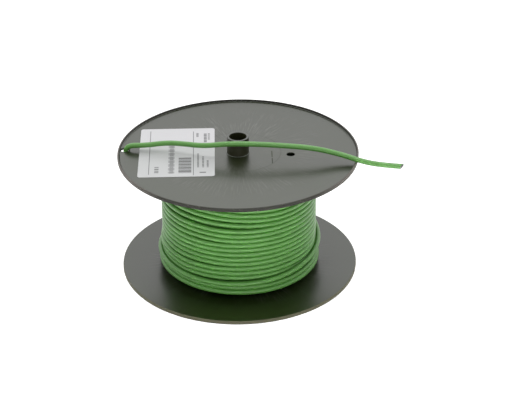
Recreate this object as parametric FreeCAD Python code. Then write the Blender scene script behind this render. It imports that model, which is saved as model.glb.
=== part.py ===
import FreeCAD, Part

import math
import os

# Wire spool: two moulded flanges on a barrel, turning on a centre tube, wound with insulated wire.
# Millimetres. The spool stands on its lower flange: the origin is on the table, on the spool's axis,
# and +Z runs up the axis. Angles are in degrees about +Z, counted from +X towards +Y.

# Flanges: one moulding used twice, the upper one turned over
flange_diameter = 160.0
overall_height = 85.3
plate_thickness = 1.1
lip_height = 1.3
lip_width = 1.3
lip_rounding = 0.4

# Hub of a flange, inside the barrel
hub_sleeve_length = 14.0
hub_sleeve_wall = 2.2
hub_bore_chamfer = 0.2
spigot_height = 7.0
spigot_wall = 1.6
rib_count = 6
rib_thickness = 1.4
rib_drop = 2.0
rib_root = 0.3

# Round holes in each flange
rim_hole_diameter = 5.5
rim_hole_inset = 4.45
drive_hole_diameter = 5.5
drive_hole_outside_barrel = 6.7
hole_chamfer = 0.15
drive_hole_from_rim_hole = 183.0
upper_rim_hole_angle = 175.9
lower_rim_hole_angle = 95.0

# Barrel between the flanges
barrel_diameter = 56.8
barrel_wall = 1.5
barrel_seat_clearance = 0.1

# Centre tube that the spool turns on
tube_diameter = 14.6
tube_bore_diameter = 11.4
tube_above_rim = 10.4
tube_running_clearance = 0.06
tube_end_rounding = 0.4

# Label on the upper flange
label_width = 50.0
label_height = 70.0
label_thickness = 0.12
label_corner = 2.0
label_rim_inset = 14.5
label_centre_y = 1.1
label_turn = 0.5

# Insulated wire
wire_diameter = 3.5
conductor_diameter = 2.0
conductor_clearance = 0.03
conductor_length = 6.0
conductor_proud = 0.2
strand_rings = 2
strand_gap = 0.005

# Winding
outer_layer_radius = 50.2
turn_clearance = 0.45
layer_clearance = 0.5
climb_spare = 0.3
winding_clearance = 0.2
core_clearance = 0.3
winding_start_angle = 90.0
layer_climb_angle = 60.0
over_layer_angle = 880.0
last_turn_bend_angle = 35.0
last_turn_rise_angle = 146.0

# Free end of the wire, from the winding up through the rim hole and across the upper flange
bend_below_hole = 4.9
bend_above_hole = 4.3
riser_shares = [0.24, 0.30, 0.26, 0.20]
riser_slope_changes = [1.00, 0.82, 0.97, 1.26]
free_end_route = [
    (-62.0, 3.4, 88.6),
    (-47.2, 1.8, 90.7),
    (-36.0, -2.4, 91.8),
    (-22.6, -7.6, 93.0),
    (-6.8, -9.6, 94.8),
    (10.0, -9.4, 94.5),
    (29.0, -10.3, 93.8),
    (49.0, -12.4, 92.5),
    (66.0, -14.6, 89.3),
    (83.0, -21.7, 86.5),
    (97.0, -25.6, 85.6),
    (106.3, -27.1, 85.5),
]
arc_share = 0.45

# Sizes that follow from the ones above
flange_radius = flange_diameter / 2
rim_height = plate_thickness + lip_height
lower_inner_face = rim_height
upper_inner_face = overall_height - rim_height
upper_outer_face = overall_height - lip_height
barrel_radius = barrel_diameter / 2
spigot_radius = barrel_radius - barrel_wall - barrel_seat_clearance
drive_hole_radius = barrel_radius + drive_hole_outside_barrel
tube_radius = tube_diameter / 2
tube_length = overall_height + tube_above_rim
hub_bore_radius = tube_radius + tube_running_clearance
hub_sleeve_radius = hub_bore_radius + hub_sleeve_wall
rim_hole_radius = flange_radius - rim_hole_inset
wire_radius = wire_diameter / 2
core_radius = outer_layer_radius - wire_radius - core_clearance
over_layer_radius = outer_layer_radius + wire_diameter + layer_clearance
winding_top = upper_inner_face - winding_clearance - wire_radius
winding_bottom = lower_inner_face + winding_clearance + wire_radius
layer_height = winding_top - winding_bottom - climb_spare
outer_layer_turns = int(layer_height / (wire_diameter + turn_clearance))
turn_pitch = layer_height / outer_layer_turns

UP = FreeCAD.Vector(0, 0, 1)
AXIS = FreeCAD.Vector(0, 0, 0)
ALONG_X = FreeCAD.Vector(1, 0, 0)


def polar(radius, angle, z):
    """Point at a radius and an angle in degrees about the spool's axis."""
    turn = math.radians(angle)
    return FreeCAD.Vector(radius * math.cos(turn), radius * math.sin(turn), z)


def corner_arc(before, corner, after):
    """Arc that leaves the line at before and joins the next at after, both equally far from corner."""
    reach = (before - corner).Length
    half_chord = (after - before).Length / 2
    inward = ((before + after) * 0.5 - corner)
    height = inward.Length
    radius = reach * half_chord / height
    centre_distance = math.sqrt(reach ** 2 + radius ** 2)
    middle = corner + inward.normalize() * (centre_distance - radius)
    return Part.Arc(before, middle, after).toShape(), radius


def rounded_profile(corners):
    """Closed face in the XZ plane; each corner is (radius from the axis, z, rounding)."""
    points = [FreeCAD.Vector(r, 0, z) for r, z, rounding in corners]
    roundings = [rounding for r, z, rounding in corners]
    starts = []
    ends = []
    edges = []
    for index, corner in enumerate(points):
        back = (points[index - 1] - corner).normalize()
        ahead = (points[(index + 1) % len(points)] - corner).normalize()
        reach = roundings[index] / math.tan(back.getAngle(ahead) / 2)
        starts.append(corner + back * reach)
        ends.append(corner + ahead * reach)
        if roundings[index] > 0:
            edges.append(corner_arc(starts[-1], corner, ends[-1])[0])
    for index in range(len(points)):
        edges.append(Part.LineSegment(ends[index - 1], starts[index]).toShape())
    return Part.Face(Part.Wire(Part.__sortEdges__(edges)))


def turned(corners):
    """Solid of revolution about the spool's axis."""
    return rounded_profile(corners).revolve(AXIS, UP, 360)


def ring(inner_radius, outer_radius, bottom, top):
    """Plain ring about the spool's axis."""
    outer = Part.makeCylinder(outer_radius, top - bottom, FreeCAD.Vector(0, 0, bottom))
    inner = Part.makeCylinder(inner_radius, top - bottom, FreeCAD.Vector(0, 0, bottom))
    return outer.cut(inner)


def eased_hole(radius, centre_x, bottom, top):
    """Cutter for a round hole along Z with both its edges eased."""
    wide = radius + hole_chamfer
    base = FreeCAD.Vector(centre_x, 0, bottom)
    hole = Part.makeCylinder(radius, top - bottom, base)
    lower_edge = Part.makeCone(wide, radius, hole_chamfer, base)
    upper_edge = Part.makeCone(radius, wide, hole_chamfer, FreeCAD.Vector(centre_x, 0, top - hole_chamfer))
    return hole.fuse([lower_edge, upper_edge])


def hub_rib():
    """Web between the hub sleeve and the spigot, sloping down outwards."""
    inner = hub_sleeve_radius - rib_root
    outer = spigot_radius - spigot_wall + rib_root
    low = lower_inner_face - rib_root
    inner_top = lower_inner_face + hub_sleeve_length - rib_drop
    outer_top = lower_inner_face + spigot_height - rib_drop
    corners = [(inner, low, 0), (outer, low, 0), (outer, outer_top, 0), (inner, inner_top, 0)]
    web = rounded_profile(corners)
    web.translate(FreeCAD.Vector(0, -rib_thickness / 2, 0))
    return web.extrude(FreeCAD.Vector(0, rib_thickness, 0))


def flange():
    """The moulding as it lies at the bottom, outer face down, with its rim hole on +X."""
    face = lip_height
    inner_face = lower_inner_face
    spigot_top = inner_face + spigot_height
    sleeve_top = inner_face + hub_sleeve_length
    body = turned([
        (hub_bore_radius, face + hub_bore_chamfer, 0),
        (hub_bore_radius + hub_bore_chamfer, face, 0),
        (flange_radius - lip_width, face, lip_rounding),
        (flange_radius - lip_width, 0, lip_rounding),
        (flange_radius, 0, lip_rounding),
        (flange_radius, inner_face, lip_rounding),
        (spigot_radius, inner_face, 0),
        (spigot_radius, spigot_top, lip_rounding),
        (spigot_radius - spigot_wall, spigot_top, 0),
        (spigot_radius - spigot_wall, inner_face, lip_rounding),
        (hub_sleeve_radius, inner_face, lip_rounding),
        (hub_sleeve_radius, sleeve_top, lip_rounding),
        (hub_bore_radius, sleeve_top, 0),
    ])
    for index in range(rib_count):
        web = hub_rib()
        web.rotate(AXIS, UP, (index + 0.5) * 360 / rib_count)
        body = body.fuse(web)
    rim_hole = eased_hole(rim_hole_diameter / 2, rim_hole_radius, face, inner_face)
    drive_hole = eased_hole(drive_hole_diameter / 2, drive_hole_radius, face, inner_face)
    drive_hole.rotate(AXIS, UP, drive_hole_from_rim_hole)
    return body.cut([rim_hole, drive_hole]).removeSplitter()


def lower_flange():
    part = flange()
    part.rotate(AXIS, UP, lower_rim_hole_angle)
    return part


def upper_flange():
    part = flange()
    part.rotate(AXIS, ALONG_X, 180)
    part.translate(FreeCAD.Vector(0, 0, overall_height))
    part.rotate(AXIS, UP, upper_rim_hole_angle)
    return part


def barrel():
    """Drum tube that stands between the flanges over their spigots."""
    return ring(barrel_radius - barrel_wall, barrel_radius, lower_inner_face, upper_inner_face)


def centre_tube():
    """Plain sleeve through both hubs; it stands on the table and ends above the upper flange."""
    bore = tube_bore_diameter / 2
    return turned([
        (bore, 0, tube_end_rounding),
        (tube_radius, 0, tube_end_rounding),
        (tube_radius, tube_length, tube_end_rounding),
        (bore, tube_length, tube_end_rounding),
    ])


def label():
    """Paper label with rounded corners, stuck on the upper flange."""
    half_x = label_width / 2
    half_y = label_height / 2
    sheet = rounded_profile([
        (-half_x, -half_y, label_corner),
        (half_x, -half_y, label_corner),
        (half_x, half_y, label_corner),
        (-half_x, half_y, label_corner),
    ])
    sheet.rotate(AXIS, ALONG_X, -90)
    sheet.rotate(AXIS, UP, label_turn)
    centre_x = half_x + label_rim_inset - flange_radius
    sheet.translate(FreeCAD.Vector(centre_x, label_centre_y, upper_outer_face))
    return sheet.extrude(FreeCAD.Vector(0, 0, label_thickness))


def inner_layers():
    """Wound mass under the outer layer, as one ring on the barrel."""
    inner = barrel_radius + barrel_seat_clearance
    bottom = lower_inner_face + winding_clearance
    top = upper_inner_face - winding_clearance
    return ring(inner, core_radius, bottom, top)


def spiral_station(angle, radius, z, rise):
    """Point on the winding and the wire's direction there; rise is in millimetres a turn."""
    point = polar(radius, angle, z)
    direction = polar(1.0, angle + 90, rise / (2 * math.pi * radius))
    return point, direction.normalize()


def winding_stations():
    """Stations along the outer layer, the climb at the bottom, the turns over it and the last rise.

    The outer layer winds down from the upper flange. At the lower flange the wire climbs on to the
    layer, lays a few turns upwards over it, and then rises round the back at a steady slope. The turn
    before the climb and the turn after it fall and rise a little more, for room beside the climb.
    """
    stations = []
    angle = winding_start_angle
    for index in range(4 * outer_layer_turns):
        spare_share = max(0, index / 4 - outer_layer_turns + 1)
        z = winding_top - turn_pitch * index / 4 - climb_spare * spare_share
        fall = turn_pitch if spare_share == 0 else turn_pitch + climb_spare
        stations.append(spiral_station(angle, outer_layer_radius, z, -fall))
        angle += 90
    stations.append(spiral_station(angle, outer_layer_radius, winding_bottom, 0))
    angle += layer_climb_angle
    stations.append(spiral_station(angle, over_layer_radius, winding_bottom, 0))
    over_steps = math.ceil(over_layer_angle / 90)
    for index in range(1, over_steps + 1):
        part_angle = over_layer_angle * index / over_steps
        z = over_layer_height(part_angle)
        rise = turn_pitch + climb_spare if part_angle < 360 else turn_pitch
        stations.append(spiral_station(angle + part_angle, over_layer_radius, z, rise))
    angle += over_layer_angle + last_turn_bend_angle
    bend_rise = (turn_pitch + last_turn_rise()) / 2
    z = over_layer_height(over_layer_angle) + bend_rise * last_turn_bend_angle / 360
    stations.append(spiral_station(angle, over_layer_radius, z, last_turn_rise()))
    for index in (1, 2):
        part_angle = last_turn_rise_angle * index / 2
        part_z = z + last_turn_rise() * part_angle / 360
        stations.append(spiral_station(angle + part_angle, over_layer_radius, part_z, last_turn_rise()))
    return stations


def over_layer_height(angle):
    """Height of the wire's centre line in the turns over the outer layer, at an angle from the climb."""
    turns = angle / 360
    return winding_bottom + turn_pitch * turns + climb_spare * min(1, turns)


def rim_hole_centre(z):
    return polar(rim_hole_radius, upper_rim_hole_angle, z)


def last_turn_rise():
    """Rise a turn at which the last turn and the straight run after it reach the rim hole."""
    over_top = over_layer_height(over_layer_angle)
    straight = math.sqrt(rim_hole_radius ** 2 - over_layer_radius ** 2)
    straight_in_turns = straight / (2 * math.pi * over_layer_radius)
    bend_in_turns = last_turn_bend_angle / 360
    rising_in_turns = bend_in_turns / 2 + last_turn_rise_angle / 360 + straight_in_turns
    below_hole = upper_inner_face - bend_below_hole
    return (below_hole - over_top - turn_pitch * bend_in_turns / 2) / rising_in_turns


def biarc(start, start_direction, end, end_direction):
    """Two arcs that meet smoothly and leave and reach the ends in the given directions."""
    chord = end - start
    both = start_direction + end_direction
    a = 4 - both.dot(both)
    b = chord.dot(both)
    c = -chord.dot(chord)
    reach = (math.sqrt(b * b - a * c) - b) / a if a > 1e-9 else -c / (2 * b)
    first_corner = start + start_direction * reach
    second_corner = end - end_direction * reach
    join = (first_corner + second_corner) * 0.5
    first, first_radius = corner_arc(start, first_corner, join)
    second, second_radius = corner_arc(join, second_corner, end)
    return [first, second], min(first_radius, second_radius)


def winding_path():
    """Edges of the winding's centre line, with a straight stub of one diameter at each end."""
    stations = winding_stations()
    first_point, first_direction = stations[0]
    last_point, last_direction = stations[-1]
    edges = [Part.LineSegment(first_point - first_direction * wire_diameter, first_point).toShape()]
    tightest = over_layer_radius
    for (start, start_way), (end, end_way) in zip(stations, stations[1:]):
        arcs, radius = biarc(start, start_way, end, end_way)
        edges.extend(arcs)
        tightest = min(tightest, radius)
    tail_start = last_point + last_direction * wire_diameter
    edges.append(Part.LineSegment(last_point, tail_start).toShape())
    turned_angle = layer_climb_angle + over_layer_angle + last_turn_bend_angle + last_turn_rise_angle
    print("winding: %.1f turns, tightest arc %.1f mm, least gap to itself %.2f mm"
          % (outer_layer_turns + turned_angle / 360, tightest, least_gap(edges, wire_diameter)))
    return edges, first_direction, tail_start


def swept_wire(edges, direction, diameter):
    """Round solid along connected edges; direction is the path's at its start."""
    path = Part.Wire(edges)
    start = edges[0].Vertexes[0].Point
    section = Part.Wire(Part.Circle(start, direction, diameter / 2).toShape())
    return path.makePipeShell([section], True, False)


def least_gap(edges, diameter):
    """Smallest gap between turns of a wire, on points a millimetre apart."""
    points = []
    travelled = 0.0
    for edge in edges:
        count = max(2, int(edge.Length))
        for index in range(count):
            share = (index + 0.5) / count
            spot = edge.valueAt(edge.FirstParameter + share * (edge.LastParameter - edge.FirstParameter))
            points.append((spot, travelled + share * edge.Length))
        travelled += edge.Length
    sectors = {}
    for spot, travel in points:
        sector = int(math.degrees(math.atan2(spot.y, spot.x)) // 3) % 120
        sectors.setdefault(sector, []).append((spot, travel))
    least = 1e9
    for sector, own in sectors.items():
        near = own + sectors.get((sector + 1) % 120, [])
        for spot, travel in own:
            for other, other_travel in near:
                if abs(travel - other_travel) > 10 * diameter:
                    least = min(least, (spot - other).Length)
    return least - diameter


def tail_route(start):
    """Corner points of the free end, from the winding's end to the cut end."""
    below_hole = rim_hole_centre(upper_inner_face - bend_below_hole)
    run = FreeCAD.Vector(below_hole.x - start.x, below_hole.y - start.y, 0)
    rise = below_hole.z - start.z
    weights = [share * change for share, change in zip(riser_shares, riser_slope_changes)]
    points = [start]
    for share, weight in zip(riser_shares, weights):
        step = run * share
        step.z = rise * weight / sum(weights)
        points.append(points[-1] + step)
    points.append(rim_hole_centre(upper_outer_face + bend_above_hole))
    points.extend(FreeCAD.Vector(*corner) for corner in free_end_route)
    return points


def tail_path(points):
    """Straight runs joined by tangent arcs, each arc as large as its two runs allow."""
    edges = []
    radii = []
    reached = points[0]
    for before, corner, after in zip(points, points[1:], points[2:]):
        reach = arc_share * min((corner - before).Length, (after - corner).Length)
        arc_start = corner + (before - corner).normalize() * reach
        arc_end = corner + (after - corner).normalize() * reach
        arc, radius = corner_arc(arc_start, corner, arc_end)
        edges.append(Part.LineSegment(reached, arc_start).toShape())
        edges.append(arc)
        radii.append(radius)
        reached = arc_end
    edges.append(Part.LineSegment(reached, points[-1]).toShape())
    print("free end: arc radii", ", ".join("%.0f" % radius for radius in radii))
    return edges


def conductor_frame(points):
    """Base point and direction of the conductor's last stretch, inside the cut end."""
    direction = (points[-1] - points[-2]).normalize()
    return points[-1] - direction * conductor_length, direction


def wire_tail(points):
    """Free end of the wire, bored at the cut end for the conductor."""
    edges = tail_path(points)
    tube = swept_wire(edges, (points[1] - points[0]).normalize(), wire_diameter)
    length = sum(edge.Length for edge in edges)
    section = math.pi * wire_radius ** 2
    print("free end: length %.1f mm, volume to section times length %.4f"
          % (length, tube.Volume / (section * length)))
    base, direction = conductor_frame(points)
    bore = Part.makeCylinder(conductor_diameter / 2 + conductor_clearance,
                             conductor_length + conductor_proud, base, direction)
    return tube.cut(bore)


def conductor_strands(points):
    """Copper strands in the cut end: one in the middle and rings of strands round it."""
    base, direction = conductor_frame(points)
    pitch = conductor_diameter / (2 * strand_rings + 1)
    strand_radius = (pitch - strand_gap) / 2
    across = direction.cross(UP).normalize()
    other = direction.cross(across).normalize()
    length = conductor_length + conductor_proud
    strands = []
    for row in range(-strand_rings, strand_rings + 1):
        in_row = 2 * strand_rings + 1 - abs(row)
        for index in range(in_row):
            sideways = (index - (in_row - 1) / 2) * pitch
            upwards = row * pitch * math.sqrt(3) / 2
            spot = base + across * sideways + other * upwards
            strands.append(Part.makeCylinder(strand_radius, length, spot, direction))
    return Part.makeCompound(strands)


def main():
    os.makedirs("parts", exist_ok=True)
    winding_edges, winding_direction, winding_end = winding_path()
    route = tail_route(winding_end)
    parts = {
        "lower_flange": lower_flange(),
        "upper_flange": upper_flange(),
        "barrel": barrel(),
        "centre_tube": centre_tube(),
        "label": label(),
        "wire_inner_layers": inner_layers(),
        "wire_outer_layer": swept_wire(winding_edges, winding_direction, wire_diameter),
        "wire_tail": wire_tail(route),
        "conductor_strands": conductor_strands(route),
    }
    for name, shape in parts.items():
        shape.exportStep("parts/%s.step" % name)
        print("%s: %d solid(s), %.0f cubic mm, valid %s"
              % (name, len(shape.Solids), shape.Volume, shape.isValid()))


main()
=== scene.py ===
# %% [markdown]
# A spool of insulated wire, seen from above its front edge. Two thin black flanges with raised rims
# sit on a hidden barrel, green wire is wound between them, and a plain tube stands out of the hub.
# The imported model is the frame: it gives every part's size and place. This script keeps the rigid
# parts and gives them finishes, and it makes the wire itself as finer geometry.

# %% The frame and its sizes
import bpy
import math
from mathutils import Matrix, Vector, noise


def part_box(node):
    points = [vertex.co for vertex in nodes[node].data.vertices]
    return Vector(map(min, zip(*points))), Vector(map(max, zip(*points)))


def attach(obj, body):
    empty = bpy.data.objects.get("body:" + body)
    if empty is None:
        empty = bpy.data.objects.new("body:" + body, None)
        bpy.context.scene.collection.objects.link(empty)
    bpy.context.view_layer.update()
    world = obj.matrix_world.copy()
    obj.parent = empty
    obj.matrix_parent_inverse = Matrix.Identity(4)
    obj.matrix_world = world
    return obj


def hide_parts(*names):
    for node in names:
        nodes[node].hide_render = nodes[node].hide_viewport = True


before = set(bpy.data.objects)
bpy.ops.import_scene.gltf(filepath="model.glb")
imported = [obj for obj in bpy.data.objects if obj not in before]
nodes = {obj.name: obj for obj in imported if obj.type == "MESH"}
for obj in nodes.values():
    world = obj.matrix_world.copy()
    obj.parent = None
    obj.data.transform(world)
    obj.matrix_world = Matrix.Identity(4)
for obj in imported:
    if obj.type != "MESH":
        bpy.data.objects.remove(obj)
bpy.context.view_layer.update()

MM = 0.001
PLATE = 1.1 * MM
RIM_PROUD = 1.3 * MM
FLANGE_HEIGHT = PLATE + RIM_PROUD

flange_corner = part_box("upper_flange")[1]
flange_radius = flange_corner.x
upper_face = flange_corner.z - RIM_PROUD
upper_inner_face = flange_corner.z - FLANGE_HEIGHT
lower_inner_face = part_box("lower_flange")[0].z + FLANGE_HEIGHT
mid_height = (lower_inner_face + upper_inner_face) / 2
tube_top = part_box("centre_tube")[1].z
print("flange radius %.1f mm, winding space %.1f to %.1f mm" % (
    flange_radius / MM, lower_inner_face / MM, upper_inner_face / MM))

# %% [markdown]
# The camera comes first, because everything else is judged through it. A product photograph like
# this is taken from about a metre away with a long lens. The angle could be guessed by eye, but the
# ellipses of the two flanges fix it well: their widths give the distance, and their heights give
# the tilt. The camera looks down by 29 degrees and is turned and rolled by less than one.

# %% Camera
PHOTO_WIDTH = 518
FOCAL_LENGTH_IN_PIXELS = 1512
SENSOR_WIDTH = 36

camera_data = bpy.data.cameras.new("camera")
camera_data.sensor_width = SENSOR_WIDTH
camera_data.lens = FOCAL_LENGTH_IN_PIXELS / PHOTO_WIDTH * SENSOR_WIDTH
camera_data.clip_start = 0.01
camera = bpy.data.objects.new("camera", camera_data)
bpy.context.scene.collection.objects.link(camera)

CAMERA_PLACE = (0, -0.8941, 0.5411)
pitch = math.radians(28.905)
yaw = math.radians(0.874)
roll = math.radians(-0.487)
level_forward = Vector((math.sin(yaw), math.cos(yaw), 0))
forward = level_forward * math.cos(pitch) - Vector((0, 0, math.sin(pitch)))
level_right = Vector((math.cos(yaw), -math.sin(yaw), 0))
level_up = level_right.cross(forward)
right = math.cos(roll) * level_right + math.sin(roll) * level_up
up = math.cos(roll) * level_up - math.sin(roll) * level_right
turned = Matrix((right, up, -forward)).transposed().to_4x4()
camera.matrix_world = Matrix.Translation(CAMERA_PLACE) @ turned
bpy.context.scene.camera = camera
print("lens %.1f mm" % camera_data.lens)

# %% [markdown]
# The object stands in a light tent: white all round, with the brightest part above and behind it.
# The photograph shows this in three ways. The flat faces are mid grey although the plastic is
# black, because they mirror that bright part. The wire has a pale line along its top. And all that
# faces the camera is rather dark. So the main lamp is one large soft sheet that leans over the
# spool from behind. The table in front of the spool is bright too, and lights the drum from below:
# under the upper flange the turns are brighter than at the bottom. One lamp with a narrow beam
# lights the table there, and a weak one, long and low in front, fills the rest. Many small lamps
# could do the same work, but each would draw its own streak on every turn of the wire.
#
# The floor and the world are white where the camera or a reflection sees them, and plain grey as
# light sources, so the background stays white without more light on the spool.

# %% World
scene = bpy.context.scene
scene.view_settings.view_transform = "Standard"


def seen_directly(tree):
    """A socket that is 1 for camera, glossy and transmission rays, and 0 for diffuse ones."""
    path = tree.nodes.new("ShaderNodeLightPath")
    seen = path.outputs["Is Camera Ray"]
    for kind in ("Is Glossy Ray", "Is Transmission Ray"):
        larger = tree.nodes.new("ShaderNodeMath")
        larger.operation = "MAXIMUM"
        tree.links.new(seen, larger.inputs[0])
        tree.links.new(path.outputs[kind], larger.inputs[1])
        seen = larger.outputs[0]
    return seen


WORLD_LIGHT = 0.45
WORLD_SEEN = 1.0
WHITE = (1, 1, 1, 1)
world = bpy.data.worlds.new("light_tent")
scene.world = world
world.use_nodes = True
tree = world.node_tree
tree.nodes.clear()
mix = tree.nodes.new("ShaderNodeMixShader")
tree.links.new(seen_directly(tree), mix.inputs[0])
for slot, strength in ((1, WORLD_LIGHT), (2, WORLD_SEEN)):
    background = tree.nodes.new("ShaderNodeBackground")
    background.inputs["Color"].default_value = WHITE
    background.inputs["Strength"].default_value = strength
    tree.links.new(background.outputs[0], mix.inputs[slot])
output = tree.nodes.new("ShaderNodeOutputWorld")
tree.links.new(mix.outputs[0], output.inputs[0])
print("world: light %.2f, seen %.2f" % (WORLD_LIGHT, WORLD_SEEN))

# %% Floor
FLOOR_HALF = 3.0
FLOOR_DROP = 0.2 * MM
FLOOR_GREY = 0.93
FLOOR_GLOW = 0.52
corners = [(FLOOR_HALF * x, FLOOR_HALF * y, 0) for x, y in ((-1, -1), (1, -1), (1, 1), (-1, 1))]
floor_mesh = bpy.data.meshes.new("floor")
floor_mesh.from_pydata(corners, [], [(0, 1, 2, 3)])
floor = bpy.data.objects.new("floor", floor_mesh)
scene.collection.objects.link(floor)
floor.location.z = -FLOOR_DROP

floor_material = bpy.data.materials.new("floor_white")
floor_material.use_nodes = True
tree = floor_material.node_tree
tree.nodes.clear()
diffuse = tree.nodes.new("ShaderNodeBsdfDiffuse")
diffuse.inputs["Color"].default_value = (FLOOR_GREY, FLOOR_GREY, FLOOR_GREY, 1)
glow = tree.nodes.new("ShaderNodeEmission")
glow.inputs["Color"].default_value = WHITE
scaled = tree.nodes.new("ShaderNodeMath")
scaled.operation = "MULTIPLY"
scaled.inputs[1].default_value = FLOOR_GLOW
tree.links.new(seen_directly(tree), scaled.inputs[0])
tree.links.new(scaled.outputs[0], glow.inputs["Strength"])
both = tree.nodes.new("ShaderNodeAddShader")
tree.links.new(diffuse.outputs[0], both.inputs[0])
tree.links.new(glow.outputs[0], both.inputs[1])
output = tree.nodes.new("ShaderNodeOutputMaterial")
tree.links.new(both.outputs[0], output.inputs["Surface"])
floor_mesh.materials.append(floor_material)
print("floor: %.0f m wide" % (2 * FLOOR_HALF))


# %% Lamps
def soft_lamp(name, place, target, width, height, power, spread=180):
    """Area lamp at place, turned to target; sizes in metres, power in watts, spread in degrees."""
    data = bpy.data.lights.new(name, "AREA")
    data.shape = "RECTANGLE"
    data.size = width
    data.size_y = height
    data.energy = power
    data.spread = math.radians(spread)
    lamp = bpy.data.objects.new(name, data)
    lamp.location = place
    lamp.rotation_euler = (Vector(target) - Vector(place)).to_track_quat("-Z", "Y").to_euler()
    scene.collection.objects.link(lamp)


drum_middle = (0, 0, 0.045)
table_in_front = (0, -0.36, 0)
soft_lamp("lamp_above", (0.0, 0.55, 1.15), drum_middle, 2.4, 2.0, 20.2)
soft_lamp("lamp_low_front", (0.15, -0.85, 0.12), drum_middle, 0.9, 0.2, 1.4)
soft_lamp("lamp_table", (0.0, -0.40, 1.05), table_in_front, 1.0, 0.4, 3.0, spread=30)

# %% [markdown]
# Most finishes share a few effects: a slow change of colour, dust specks, and fine lines. Each is a
# shader node group with named inputs and outputs, built once. A group could hold a whole material,
# but then nothing could be reused, so a group here gives only a mask or a height, and each material
# decides what it does with it.

# %% Node group helpers
def new_group(name, inputs, outputs):
    """An empty node group with the given sockets, and its input and output nodes."""
    group = bpy.data.node_groups.new(name, "ShaderNodeTree")
    for socket_name, kind, default in inputs:
        socket = group.interface.new_socket(name=socket_name, in_out="INPUT", socket_type=kind)
        if default is not None:
            socket.default_value = default
    for socket_name, kind in outputs:
        group.interface.new_socket(name=socket_name, in_out="OUTPUT", socket_type=kind)
    return group, group.nodes.new("NodeGroupInput"), group.nodes.new("NodeGroupOutput")


def feed(tree, socket, value):
    """Sets an input socket to a number, or links another socket to it."""
    if isinstance(value, (int, float)):
        socket.default_value = value
    else:
        tree.links.new(value, socket)


def math_node(tree, operation, first, second=None, third=None, clamp=False):
    """Result socket of a math node; each operand is a socket or a number."""
    node = tree.nodes.new("ShaderNodeMath")
    node.operation = operation
    node.use_clamp = clamp
    for index, operand in enumerate((first, second, third)):
        if operand is not None:
            feed(tree, node.inputs[index], operand)
    return node.outputs[0]


def times(tree, product, *factors):
    """Result socket of a product of sockets or numbers."""
    for factor in factors:
        product = math_node(tree, "MULTIPLY", product, factor)
    return product


def noise_node(tree, vector, scale, detail=2.0, roughness=0.5):
    """Result socket of a noise texture over a vector socket."""
    node = tree.nodes.new("ShaderNodeTexNoise")
    tree.links.new(vector, node.inputs["Vector"])
    node.inputs["Detail"].default_value = detail
    node.inputs["Roughness"].default_value = roughness
    feed(tree, node.inputs["Scale"], scale)
    return node.outputs[0]


def ramp_node(tree, value, low, high):
    """Smooth step from 0 at low to 1 at high; low and high are sockets or numbers."""
    node = tree.nodes.new("ShaderNodeMapRange")
    node.interpolation_type = "SMOOTHSTEP"
    tree.links.new(value, node.inputs["Value"])
    feed(tree, node.inputs["From Min"], low)
    feed(tree, node.inputs["From Max"], high)
    return node.outputs["Result"]


def combine_node(tree, x, y, z):
    """Vector socket from three sockets or numbers."""
    node = tree.nodes.new("ShaderNodeCombineXYZ")
    for socket, value in zip(node.inputs, (x, y, z)):
        feed(tree, socket, value)
    return node.outputs[0]


def separate_node(tree, vector):
    """The three coordinates of a vector socket, as sockets."""
    node = tree.nodes.new("ShaderNodeSeparateXYZ")
    tree.links.new(vector, node.inputs[0])
    return node.outputs[0], node.outputs[1], node.outputs[2]


def distance_node(tree, vector, point):
    """Socket with the distance from a vector socket to a fixed point."""
    node = tree.nodes.new("ShaderNodeVectorMath")
    node.operation = "DISTANCE"
    tree.links.new(vector, node.inputs[0])
    node.inputs[1].default_value = point
    return node.outputs["Value"]


# %% Group: slow change
group, inside, outside = new_group(
    "slow_change",
    [("Vector", "NodeSocketVector", None), ("Scale", "NodeSocketFloat", 20.0),
     ("Contrast", "NodeSocketFloat", 1.0)],
    [("Value", "NodeSocketFloat")])
raw = noise_node(group, inside.outputs["Vector"], inside.outputs["Scale"], detail=3.0)
centred = math_node(group, "SUBTRACT", raw, 0.5)
stretched = math_node(group, "MULTIPLY_ADD", centred, inside.outputs["Contrast"], 0.5, clamp=True)
group.links.new(stretched, outside.inputs["Value"])
slow_change = group
print("node group", group.name)

# %% Group: dust specks
SPECK_EDGE = 0.16
SPECK_CORE = 0.05
LOT_SCALE = 37.0
group, inside, outside = new_group(
    "dust_specks",
    [("Vector", "NodeSocketVector", None), ("Scale", "NodeSocketFloat", 900.0),
     ("Share", "NodeSocketFloat", 0.3)],
    [("Mask", "NodeSocketFloat")])
cells = group.nodes.new("ShaderNodeTexVoronoi")
group.links.new(inside.outputs["Vector"], cells.inputs["Vector"])
group.links.new(inside.outputs["Scale"], cells.inputs["Scale"])
speck = ramp_node(group, cells.outputs["Distance"], SPECK_EDGE, SPECK_CORE)
lot = noise_node(group, cells.outputs["Position"], LOT_SCALE)
chosen = math_node(group, "LESS_THAN", lot, inside.outputs["Share"])
group.links.new(times(group, speck, chosen), outside.inputs["Mask"])
dust_specks = group
print("node group", group.name)

# %% [markdown]
# The flange's face is full of hair-fine scuffs that all point away from the hub, where spools rub
# on each other as they are stacked and turned. Scratches could be drawn one by one, but noise does
# it faster: noise that changes quickly with the angle about the axis and slowly with the radius
# gives lines that fan out, and a ring mask keeps them where the photograph has them.

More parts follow.
